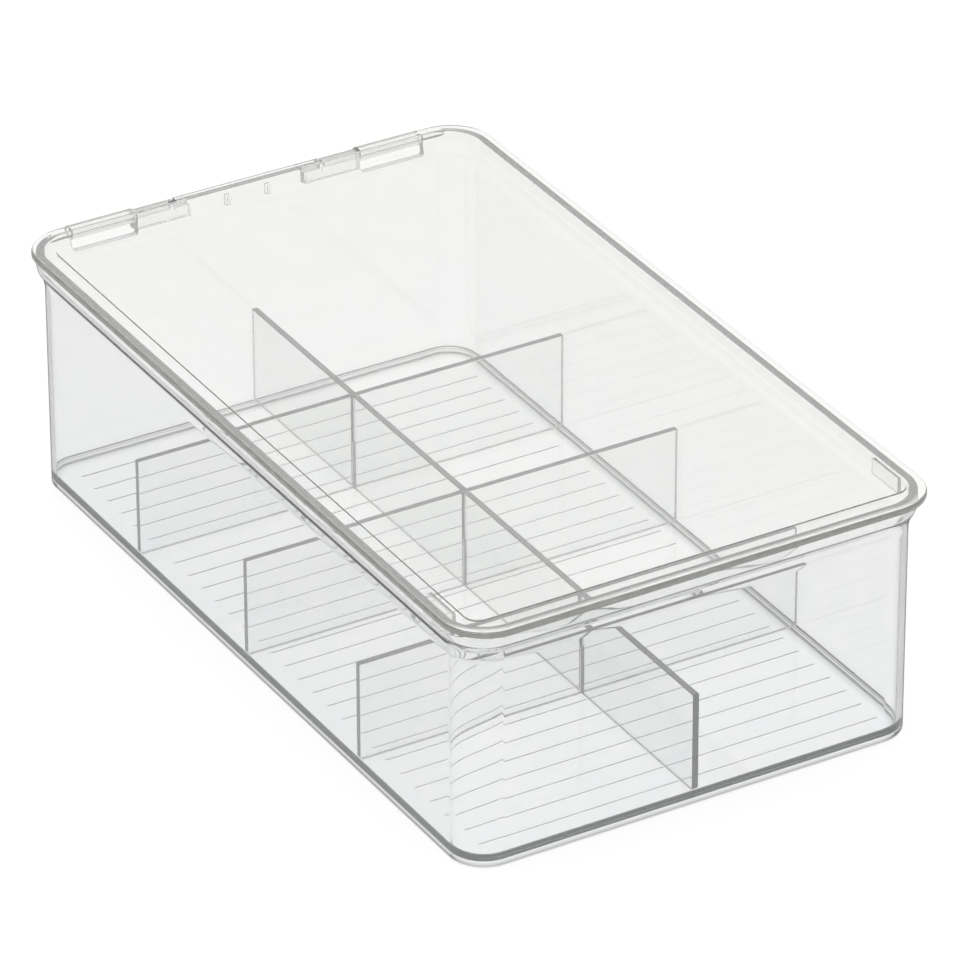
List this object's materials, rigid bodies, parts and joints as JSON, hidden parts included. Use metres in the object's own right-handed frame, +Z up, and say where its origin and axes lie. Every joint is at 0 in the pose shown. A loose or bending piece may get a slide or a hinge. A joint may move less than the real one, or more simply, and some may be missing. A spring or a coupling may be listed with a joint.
{
  "type": "tea bag organizer box",
  "caption": "Long clear plastic box with low divider plates that form compartments for tea bags, and a flat clear lid hinged along one short side.",
  "frame": {"origin": "middle of the box on the surface that it stands on", "axes": "+X across the box to its right, +Y to the back where the lid is hinged, +Z up"},
  "size_m": [0.1856, 0.3204, 0.0954],
  "materials": {
    "clear_plastic": "clear, glossy",
    "divider_plastic": "clear, glossy",
    "pin_plastic": "clear, glossy"
  },
  "bodies": {
    "box": {"bin": "clear_plastic", "long_divider": "divider_plastic", "cross_divider_rear": "divider_plastic", "cross_divider_middle": "divider_plastic", "cross_divider_front": "divider_plastic", "hinge_pin_left": "pin_plastic", "hinge_pin_right": "pin_plastic"},
    "lid": {"lid": "clear_plastic"}
  },
  "joints": [
    {"name": "lid_hinge", "type": "hinge", "parent": "box", "child": "lid", "pos_m": [0, 0.157, 0.0915], "axis": [-1, 0, 0], "range_deg": [0, 110]}
  ]
}
